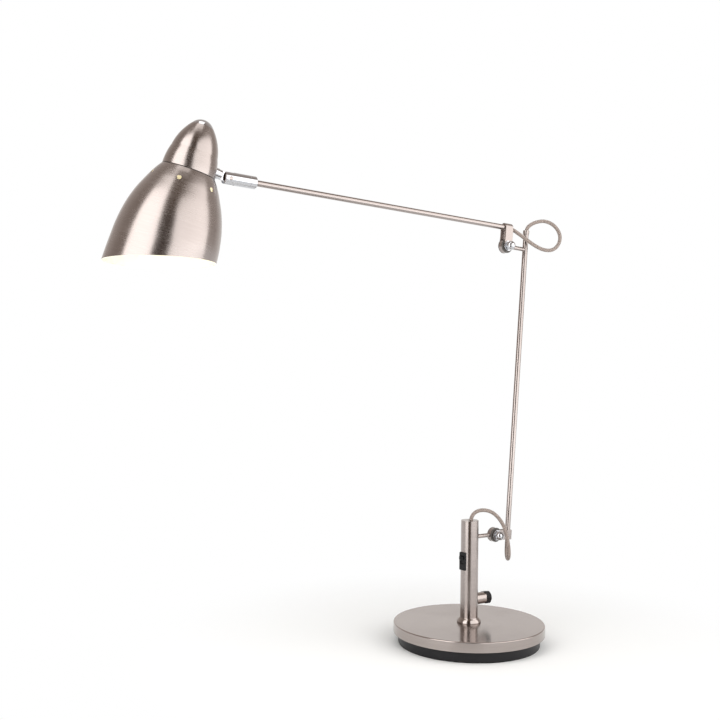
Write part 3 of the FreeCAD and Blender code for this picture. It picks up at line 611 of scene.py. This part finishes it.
def make_world():
    """White to the camera. Polished metal sees the white backdrop and a darker room."""
    world = bpy.data.worlds.new("studio")
    bpy.context.scene.world = world
    world.use_nodes = True
    tree = world.node_tree
    tree.nodes.clear()
    way = add(tree, "ShaderNodeTexCoord").outputs["Generated"]
    ahead = combine(tree, "DOT_PRODUCT", {0: way, 1: CAMERA_AHEAD.normalized()}, "Value")
    room = add(tree, "ShaderNodeValToRGB", {"Fac": spread(tree, ahead, -1.0, 1.0)})
    ramp = room.color_ramp
    ramp.interpolation = "EASE"
    first, *between, last = ROOM_TONES
    for element, (position, tone) in zip(ramp.elements, (first, last)):
        element.position = position
        element.color = rgba(linear(tone))
    for position, tone in between:
        ramp.elements.new(position).color = rgba(linear(tone))
    paths = add(tree, "ShaderNodeLightPath").outputs
    seen = add(tree, "ShaderNodeBackground", {"Color": WHITE, "Strength": 1.0})
    mirrored = add(
        tree, "ShaderNodeBackground", {"Color": room.outputs["Color"], "Strength": 1.0},
    )
    lit = add(tree, "ShaderNodeBackground", {"Color": WHITE, "Strength": ROOM_LIGHT})
    shiny = calculate(
        tree, "MAXIMUM", paths["Is Glossy Ray"], paths["Is Transmission Ray"],
    )
    inner = add(
        tree, "ShaderNodeMixShader",
        {0: shiny, 1: lit.outputs["Background"], 2: mirrored.outputs["Background"]},
    )
    whole = add(
        tree, "ShaderNodeMixShader",
        {0: paths["Is Camera Ray"], 1: inner.outputs["Shader"], 2: seen.outputs["Background"]},
    )
    add(tree, "ShaderNodeOutputWorld", {"Surface": whole.outputs["Shader"]})


def floor_paper():
    """Pale paper that turns into the white backdrop away from the lamp.

    Metal sees the gap between the softboxes run on over the floor, towards the camera.
    """
    made = new_material("floor_paper")
    tree = made.node_tree
    place = add(tree, "ShaderNodeTexCoord").outputs["Object"]
    away = combine(tree, "LENGTH", {0: place}, "Value")
    fade = spread(tree, away, FADE_START, FADE_END, interpolation_type="SMOOTHSTEP")
    paper = add(tree, "ShaderNodeBsdfDiffuse", {"Color": rgba(linear("f2f1ef"))})
    paths = add(tree, "ShaderNodeLightPath").outputs
    ahead = CAMERA_AHEAD.normalized()
    sideways = combine(tree, "DOT_PRODUCT", {0: place, 1: ahead.cross(UP)}, "Value")
    towards = combine(tree, "DOT_PRODUCT", {0: place, 1: -ahead}, "Value")
    angle = calculate(tree, "ARCTAN2", sideways, towards)
    off = calculate(tree, "ABSOLUTE", calculate(tree, "ADD", angle, GAP_TURN))
    beside = spread(tree, off, GAP_EDGE, GAP_END)
    pale = calculate(tree, "MAXIMUM", paths["Is Camera Ray"], beside)
    tint = blended(tree, pale, rgba(linear("54402f")), WHITE)
    white = add(tree, "ShaderNodeEmission", {"Color": tint, "Strength": 1.0})
    seen = calculate(tree, "MAXIMUM", paths["Is Camera Ray"], paths["Is Glossy Ray"])
    seen = calculate(tree, "MAXIMUM", seen, paths["Is Transmission Ray"])
    mixed = add(
        tree, "ShaderNodeMixShader",
        {0: calculate(tree, "MULTIPLY", seen, fade), 1: paper.outputs["BSDF"],
         2: white.outputs["Emission"]},
    )
    add(tree, "ShaderNodeOutputMaterial", {"Surface": mixed.outputs["Shader"]})
    return made


def make_floor():
    """Round floor under the lamp."""
    bm = bmesh.new()
    bmesh.ops.create_circle(
        bm, cap_ends=True, cap_tris=False, segments=96, radius=FLOOR_RADIUS,
    )
    mesh = bpy.data.meshes.new("floor")
    bm.to_mesh(mesh)
    bm.free()
    mesh.materials.append(floor_paper())
    floor = link(bpy.data.objects.new("floor", mesh))


class LAMP_OT_stage(bpy.types.Operator):
    """Camera, softboxes, white studio and floor"""

    bl_idname = "lamp.stage"
    bl_label = "Stage"

    def execute(self, context):
        context.scene.view_settings.view_transform = "Standard"
        make_camera()
        make_world()
        make_floor()
        for name, row in SOFTBOXES.items():
            make_softbox(name, *row)
        return {"FINISHED"}


# ---------- cords ----------

# the routes of the two free stretches, in millimetres
LOWER_LOOP = [
    (0.7, 0, 138), (1.1, 0, 147.2), (5.2, -0.5, 154.8), (15, -2.5, 158.4),
    (27, -7, 156.3), (35, -12.5, 148.2), (39.2, -17.5, 137.5), (41.8, -19.3, 126.3),
    (44.5, -19.2, 114.5), (46.8, -17.8, 103.8), (50.1, -12.6, 97.2), (54.2, -5.8, 96.6),
    (57.3, -0.7, 102.8), (58.5, 0, 115.3), (59.16, 0, 125),
]
ELBOW_LOOP = [
    (50, 0, 500.79), (59, 0, 500.29), (66.5, -3, 495.8), (76, -7.5, 488.5),
    (87.5, -11.5, 480.5), (100, -15, 475), (114, -17, 475.5), (124.5, -17, 484),
    (128.5, -15, 496), (122.5, -11.5, 507.5), (110.3, -7, 513.3), (98.3, -2.5, 511.2),
    (89.4, -0.2, 506.3), (84.8, 0, 500.9), (84.33, 0, 494),
]


def route_curve(name, route, radius):
    """Smooth NURBS line with the route's points as its control points."""
    data = bpy.data.curves.new(name, "CURVE")
    data.dimensions = "3D"
    data.resolution_u = 10
    data.bevel_depth = radius
    data.bevel_resolution = 6
    data.use_fill_caps = radius > 0
    spline = data.splines.new("NURBS")
    spline.points.add(len(route) - 1)
    for knot, place in zip(spline.points, route):
        knot.co = (*point(*place), 1)
    spline.order_u = 3
    spline.use_endpoint_u = True
    return link(bpy.data.objects.new(name, data))


def route_mesh(name, route, radius):
    """The mesh that a route's curve gives, as a bare line or as a tube."""
    curve = route_curve(name + "_route", route, radius)
    data = curve.data
    mesh = bpy.data.meshes.new_from_object(curve)
    bpy.data.objects.remove(curve)
    bpy.data.curves.remove(data)
    return mesh


def wrap_braid(mesh, path):
    """UV map with U the way along the cord in metres and V the share of a turn round it."""
    lengths = [0.0]
    for before, after in zip(path, path[1:]):
        lengths.append(lengths[-1] + (after - before).length)
    ahead = [
        (path[min(place + 1, len(path) - 1)] - path[max(place - 1, 0)]).normalized()
        for place in range(len(path))
    ]
    across = [ahead[0].orthogonal().normalized()]
    for before, after in zip(ahead, ahead[1:]):
        across.append(before.rotation_difference(after) @ across[-1])
    layer = mesh.uv_layers.new(name="braid")
    spots = []
    for vertex in mesh.vertices:
        nearest = min(
            range(len(path)), key=lambda place: (path[place] - vertex.co).length_squared,
        )
        arm = vertex.co - path[nearest]
        side = ahead[nearest].cross(across[nearest])
        turn = math.atan2(arm.dot(side), arm.dot(across[nearest])) / (2 * math.pi)
        spots.append((lengths[nearest] + arm.dot(ahead[nearest]), turn))
    for face in mesh.polygons:
        turns = [spots[mesh.loops[loop].vertex_index][1] for loop in face.loop_indices]
        wraps = max(turns) - min(turns) > 0.5
        for loop in face.loop_indices:
            along, turn = spots[mesh.loops[loop].vertex_index]
            layer.data[loop].uv = (along, turn + 1 if wraps and turn < 0 else turn)


def make_cord(name, node, route):
    """One free stretch of cord, looped across a joint."""
    girth = sizes().cord
    line = route_mesh(name, route, 0.0)
    path = [vertex.co.copy() for vertex in line.vertices]
    bpy.data.meshes.remove(line)
    mesh = route_mesh(name, route, girth / 2)
    mesh.name = name
    while mesh.uv_layers:
        mesh.uv_layers.remove(mesh.uv_layers[0])
    wrap_braid(mesh, path)
    mesh.materials.clear()
    mesh.materials.append(finish_of("braid_textile"))
    mesh.shade_smooth()
    cord = link(bpy.data.objects.new(name, mesh))
    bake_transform(cord)
    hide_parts(node)


class LAMP_OT_cords(bpy.types.Operator):
    """The two free loops of braided cord at the arm joints"""

    bl_idname = "lamp.cords"
    bl_label = "Cord loops"

    def execute(self, context):
        make_cord(
            "lower_loop", "lower_loop_cord", LOWER_LOOP,
        )
        make_cord(
            "elbow_loop", "elbow_loop_cord", ELBOW_LOOP,
        )
        return {"FINISHED"}


# ---------- base ----------

# outlines of (radius, height) in millimetres
COVER_OUTLINE = [
    (5.25, 25.1), (89.97, 25.1), (89.97, 13.2), (88.6, 13.2), (88.6, 23.7), (5.25, 23.7),
]
TRAY_OUTLINE = [
    (0.0, 1.5), (84.4, 1.5), (84.4, 13.0), (88.2, 13.0), (88.2, 15.0), (82.4, 15.0),
    (82.4, 3.5), (0.0, 3.5),
]
PAD_OUTLINE = [(0.0, 0.0), (83.6, 0.0), (83.6, 1.5), (0.0, 1.5)]
BASE_STEPS = 192                  # faces round a turned piece of the base
COVER_ROUNDING = 1.2 * MM         # of its outer top edge
COVER_EDGE_RADIUS = 89.8 * MM     # only that edge lies beyond this radius
COVER_EDGE_HEIGHT = 25.0 * MM     # and above this height
COVER_BEVEL_ABOVE = math.radians(50.0)  # the rounding's own edges meet at less


def break_cover(bm):
    """Rounds the cover's outer top edge by its own radius, and the cut edges finely."""
    outer = [
        edge for edge in bm.edges
        if all(vertex.co.z > COVER_EDGE_HEIGHT
               and math.hypot(vertex.co.x, vertex.co.y) > COVER_EDGE_RADIUS
               for vertex in edge.verts)
    ]
    bmesh.ops.bevel(
        bm, geom=outer, offset=COVER_ROUNDING, offset_type="OFFSET", segments=5, profile=0.5,
        affect="EDGES", clamp_overlap=True, material=-1,
    )
    break_edges(bm, sizes().edge, above=COVER_BEVEL_ABOVE)


class LAMP_OT_base(bpy.types.Operator):
    """Nickel cover, black tray, foot pad and the weight inside"""

    bl_idname = "lamp.base"
    bl_label = "Base"

    def execute(self, context):
        cover = turned(COVER_OUTLINE, steps=BASE_STEPS)
        break_cover(cover)
        as_piece(
            cover, "base_cover_turned", "base_cover", "nickel_upright", "base",
        )
        tray = turned(TRAY_OUTLINE, closed=False, steps=BASE_STEPS)
        break_edges(tray, 0.7 * MM, segments=3)
        as_piece(tray, "base_tray_pressed", "base_tray", "paint_black", "base")
        pad = turned(PAD_OUTLINE, closed=False, steps=BASE_STEPS)
        break_edges(pad, 0.4 * MM)
        as_piece(pad, "foot_pad_cut", "foot_pad", "rubber_pad", "base")
        painted("base_weight", "iron_cast")
        for node in ("tray_screws", "base_rod", "base_washer", "base_nut"):
            painted(node, "zinc_plated")
        return {"FINISHED"}


# ---------- post ----------

# corners of (radius, height, kind), in millimetres
COLLAR_CORNERS = [
    (10.53, 25.1, "sharp"), (14.2, 25.1, "sharp"), (14.4, 25.4, "sharp"),
    (14.4, 26.3, "sharp"), (14.2, 27.0, "smooth"), (13.2, 29.3, "smooth"),
    (11.9, 31.0, "smooth"), (11.6, 31.5, "sharp"), (10.53, 31.5, "sharp"),
]


class LAMP_OT_post(bpy.types.Operator):
    """Post with its collar, cap and the stub of the lower pivot"""

    bl_idname = "lamp.post"
    bl_label = "Post"

    def execute(self, context):
        dressed("post_tube_drawn", "post_tube", "nickel_post", "base")
        collar = turned(outline_points(COLLAR_CORNERS, steps=4))
        as_piece(
            collar, "post_collar_turned", "post_collar", "nickel_upright", "base",
        )
        dressed("post_cap_turned", "post_cap", "nickel_upright", "base")
        dressed("post_stub_turned", "post_stub", "nickel_lower_eye", "base")
        painted("post_insert", "zinc_plated")
        return {"FINISHED"}


# ---------- switch ----------

SWITCH_TURN = Matrix.Rotation(math.radians(184.0), 4, "Z")
# the slider and the grip ribs across its face, in millimetres, with +X out of the post
SLIDER_LOW, SLIDER_HIGH = (11.0, -3.0, 100.7), (14.0, 3.0, 104.7)
RIB_SIZE = (0.9, 5.4, 0.6)
RIB_REACH = 14.05                 # from the post's axis to a rib's middle
RIB_HEIGHTS = (101.55, 102.7, 103.85)


def boxed(low, high):
    """Bmesh of a block between two corners, in millimetres."""
    bm = bmesh.new()
    bmesh.ops.create_cube(bm, size=1.0)
    size = Vector(high) - Vector(low)
    middle = (Vector(high) + Vector(low)) / 2
    bmesh.ops.scale(bm, vec=size * MM, verts=bm.verts)
    bmesh.ops.translate(bm, vec=middle * MM, verts=bm.verts)
    return bm


class LAMP_OT_switch(bpy.types.Operator):
    """Slide switch in the post"""

    bl_idname = "lamp.switch"
    bl_label = "Slide switch"

    def execute(self, context):
        dressed(
            "switch_body_moulded", "switch_body", "plastic_black", "base", 0.9,
        )
        slider = boxed(SLIDER_LOW, SLIDER_HIGH)
        break_edges(slider, 0.2 * MM)
        for height in RIB_HEIGHTS:
            place = Matrix.Translation(point(RIB_REACH, 0, height))
            bmesh.ops.create_cube(
                slider, size=1.0, matrix=place @ Matrix.Diagonal((*point(*RIB_SIZE), 1)),
            )
        bmesh.ops.transform(slider, matrix=SWITCH_TURN, verts=slider.verts)
        as_piece(
            slider, "switch_slider_ribbed", "switch_slider", "plastic_black", "switch_slider",
        )
        return {"FINISHED"}


# ---------- cord inlet ----------


class LAMP_OT_inlet(bpy.types.Operator):
    """Nickel nipple and black gland nut of the cord inlet"""

    bl_idname = "lamp.inlet"
    bl_label = "Cord inlet"

    def execute(self, context):
        dressed("gland_nipple_turned", "gland_nipple", "nickel_inlet", "base")
        dressed(
            "gland_nut_moulded", "gland_nut", "plastic_black", "base", 0.4,
        )
        return {"FINISHED"}


# ---------- arms ----------


class LAMP_OT_arms(bpy.types.Operator):
    """The two tube arms with the bush, the elbow's stub and the swivel collar"""

    bl_idname = "lamp.arms"
    bl_label = "Arms"

    def execute(self, context):
        dressed("lower_tube_drawn", "lower_arm_tube", "nickel_lower", "lower_arm")
        dressed(
            "lower_bush_turned", "lower_arm_bush", "nickel_lower", "lower_arm", 0.15,
        )
        dressed("elbow_stub_turned", "elbow_stub", "nickel_elbow_eye", "lower_arm")
        dressed("upper_tube_drawn", "upper_arm_tube", "nickel_upper", "upper_arm")
        dressed(
            "swivel_collar_turned", "swivel_collar", "chrome_polished", "upper_arm",
        )
        return {"FINISHED"}


class LAMP_OT_joints(bpy.types.Operator):
    """Straps, bolts, ball nuts and washers of the two arm joints"""

    bl_idname = "lamp.joints"
    bl_label = "Arm joints"

    def execute(self, context):
        for label, bolt, body in (
            ("lower", "lower_pivot_bolt", "lower_arm"), ("elbow", "elbow_bolt", "upper_arm"),
        ):
            eye = "nickel_" + label + "_eye"
            dressed(label + "_strap_bent", label + "_strap", eye, body, 0.35)
            dressed(label + "_bolt_turned", bolt, eye, body)
            dressed(
                label + "_ball_nut", label + "_acorn_nut", "chrome_polished", body,
                0.15,
            )
            dressed(
                label + "_washers_pair", label + "_washers", "nylon_washer", body,
                0.1,
            )
        return {"FINISHED"}


# ---------- knuckle ----------


class LAMP_OT_knuckle(bpy.types.Operator):
    """Chrome knuckle with its cross pin"""

    bl_idname = "lamp.knuckle"
    bl_label = "Knuckle"

    def execute(self, context):
        dressed("knuckle_turned", "knuckle_body", "chrome_polished", "knuckle")
        dressed(
            "knuckle_pin_turned", "knuckle_pin", "nickel_stud", "knuckle", 0.1,
        )
        return {"FINISHED"}


# ---------- shade ----------

# corners down the shade's outside from the seam with the cup, in millimetres. The last
# ones lie below the rim's plane, which cuts them off.
SHADE_CORNERS = [
    (20.3, 0.0, "sharp"), (27.4, 0.0, "sharp"), (31.5, -6.0, "smooth"),
    (38.0, -18.0, "smooth"), (46.5, -38.0, "smooth"), (52.1, -62.0, "smooth"),
    (54.1, -86.0, "smooth"), (55.15, -116.0, "smooth"),
]
SHADE_STEPS = 144                 # faces round the shade
RIM_DEPTH = 95.15                 # millimetres below the seam, on the shade's axis
RIM_ANGLE = math.radians(16.4)    # between the rim's plane and a level one
RIM_SHORT_SIDE = math.radians(-39.0)    # where round the axis the shade is shortest
VENT_COUNT = 6
VENT_RADIUS = 2.25                # millimetres
VENT_DEPTH = 12.5                 # millimetres below the seam
VENT_TURN = math.radians(-2.5)    # where round the axis the first vent is
VENT_REACH = 36                   # millimetres from the axis to a cutter's middle
VENT_CUTTER_LENGTH = 20           # millimetres


def apply_modifier(made, modifier):
    """Gives a piece the mesh that its modifier makes, in the modifier's place."""
    bpy.context.view_layer.update()
    graph = bpy.context.evaluated_depsgraph_get()
    mesh = bpy.data.meshes.new_from_object(made.evaluated_get(graph))
    made.modifiers.remove(modifier)
    made.data = mesh


def cut_with(made, cutter_mesh):
    """Cuts a mesh's solid out of a piece's solid."""
    cutter = link(bpy.data.objects.new("cutter", cutter_mesh))
    cut = made.modifiers.new("cut", "BOOLEAN")
    cut.operation = "DIFFERENCE"
    cut.solver = "EXACT"
    cut.object = cutter
    apply_modifier(made, cut)
    bpy.data.objects.remove(cutter)
    bpy.data.meshes.remove(cutter_mesh)


def vent_cutters():
    """Short rods through the shade's side, one for each vent."""
    bm = bmesh.new()
    aim = Matrix.Rotation(math.pi / 2, 4, "Y")
    for number in range(VENT_COUNT):
        turn = Matrix.Rotation(VENT_TURN + 2 * math.pi * number / VENT_COUNT, 4, "Z")
        middle = Matrix.Translation(point(VENT_REACH, 0, -VENT_DEPTH))
        bmesh.ops.create_cone(
            bm, cap_ends=True, segments=24, radius1=VENT_RADIUS * MM, radius2=VENT_RADIUS * MM,
            depth=VENT_CUTTER_LENGTH * MM, matrix=SHADE_FRAME @ turn @ middle @ aim,
        )
    mesh = bpy.data.meshes.new("vents")
    bm.to_mesh(mesh)
    bm.free()
    return mesh


def shade_surface():
    """Bmesh of the shade's outside, cut by the rim's slanting plane."""
    corners = outline_points(SHADE_CORNERS, steps=10)
    bm = turned(corners, closed=False, steps=SHADE_STEPS)
    slope = Matrix.Rotation(RIM_SHORT_SIDE, 4, "Z") @ Matrix.Rotation(-RIM_ANGLE, 4, "Y")
    bmesh.ops.bisect_plane(
        bm, geom=bm.verts[:] + bm.edges[:] + bm.faces[:], dist=0.001 * MM,
        plane_co=(0, 0, -RIM_DEPTH * MM), plane_no=slope @ Vector((0, 0, -1)),
        clear_outer=True,
    )
    bmesh.ops.transform(bm, matrix=SHADE_FRAME, verts=bm.verts)
    middle = SHADE_FRAME @ point(0, 0, -50)
    outward = sum(
        1 if face.normal.dot(face.calc_center_median() - middle) > 0 else -1
        for face in bm.faces
    )
    if outward < 0:
        bmesh.ops.reverse_faces(bm, faces=bm.faces)
    return bm


def make_shade_shell():
    """Spun shell, nickel outside and enamel inside, with its vents."""
    mesh = bpy.data.meshes.new("shade_spun")
    bm = shade_surface()
    bm.to_mesh(mesh)
    bm.free()
    mesh.materials.append(finish_of("nickel_shade"))
    mesh.materials.append(finish_of("enamel_white"))
    made = link(bpy.data.objects.new("shade_spun", mesh))
    wall = made.modifiers.new("wall", "SOLIDIFY")
    wall.thickness = sizes().shade_wall
    wall.offset = -1.0
    wall.use_even_offset = True
    wall.material_offset = 1
    wall.material_offset_rim = 1
    apply_modifier(made, wall)
    cut_with(made, vent_cutters())
    smooth_by_angle(made.data)
    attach(made, "head")
    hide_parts("shade")


class LAMP_OT_shade(bpy.types.Operator):
    """Spun shade, the cup on it, the finial and the stud"""

    bl_idname = "lamp.shade"
    bl_label = "Shade and cup"

    def execute(self, context):
        make_shade_shell()
        painted("cup", "nickel_cup")
        painted("finial", "chrome_polished")
        dressed("head_stud_turned", "head_stud", "chrome_polished", "head")
        dressed("stud_collar_turned", "stud_collar", "chrome_polished", "head")
        for node in ("stud_nut", "head_nipple"):
            painted(node, "zinc_plated")
        return {"FINISHED"}


class LAMP_OT_bulb(bpy.types.Operator):
    """Lamp holder and the lit bulb in it"""

    bl_idname = "lamp.bulb"
    bl_label = "Holder and bulb"

    def execute(self, context):
        for node in ("holder_body", "holder_ring", "holder_cap"):
            painted(node, "plastic_holder")
        painted("bulb_glass", "glass_frosted")
        painted("bulb_base", "brass_screw_shell")
        return {"FINISHED"}


OPERATORS = (
    LAMP_OT_stage, LAMP_OT_cords, LAMP_OT_base, LAMP_OT_post, LAMP_OT_switch, LAMP_OT_inlet,
    LAMP_OT_arms, LAMP_OT_joints, LAMP_OT_knuckle, LAMP_OT_shade, LAMP_OT_bulb,
)


class LAMP_PT_panel(bpy.types.Panel):
    """Lists what builds the lamp, with its sizes and colours"""

    bl_idname = "LAMP_PT_panel"
    bl_label = "Desk lamp"
    bl_space_type = "VIEW_3D"
    bl_region_type = "UI"
    bl_category = "Desk lamp"

    def draw(self, context):
        column = self.layout.column(align=True)
        for operator in OPERATORS:
            column.operator(operator.bl_idname)
        for group in (context.scene.lamp_colours, context.scene.lamp_sizes):
            box = self.layout.box()
            for name in group.bl_rna.properties.keys():
                if name not in ("rna_type", "name"):
                    box.prop(group, name)


CLASSES = (LampColours, LampSizes) + OPERATORS + (LAMP_PT_panel,)


def register():
    for one in CLASSES:
        bpy.utils.register_class(one)
    bpy.types.Scene.lamp_colours = PointerProperty(type=LampColours)
    bpy.types.Scene.lamp_sizes = PointerProperty(type=LampSizes)


def unregister():
    del bpy.types.Scene.lamp_sizes
    del bpy.types.Scene.lamp_colours
    for one in reversed(CLASSES):
        bpy.utils.unregister_class(one)


def main():
    register()
    for operator in OPERATORS:
        group, name = operator.bl_idname.split(".")
        getattr(getattr(bpy.ops, group), name)()


if __name__ == "__main__":
    main()
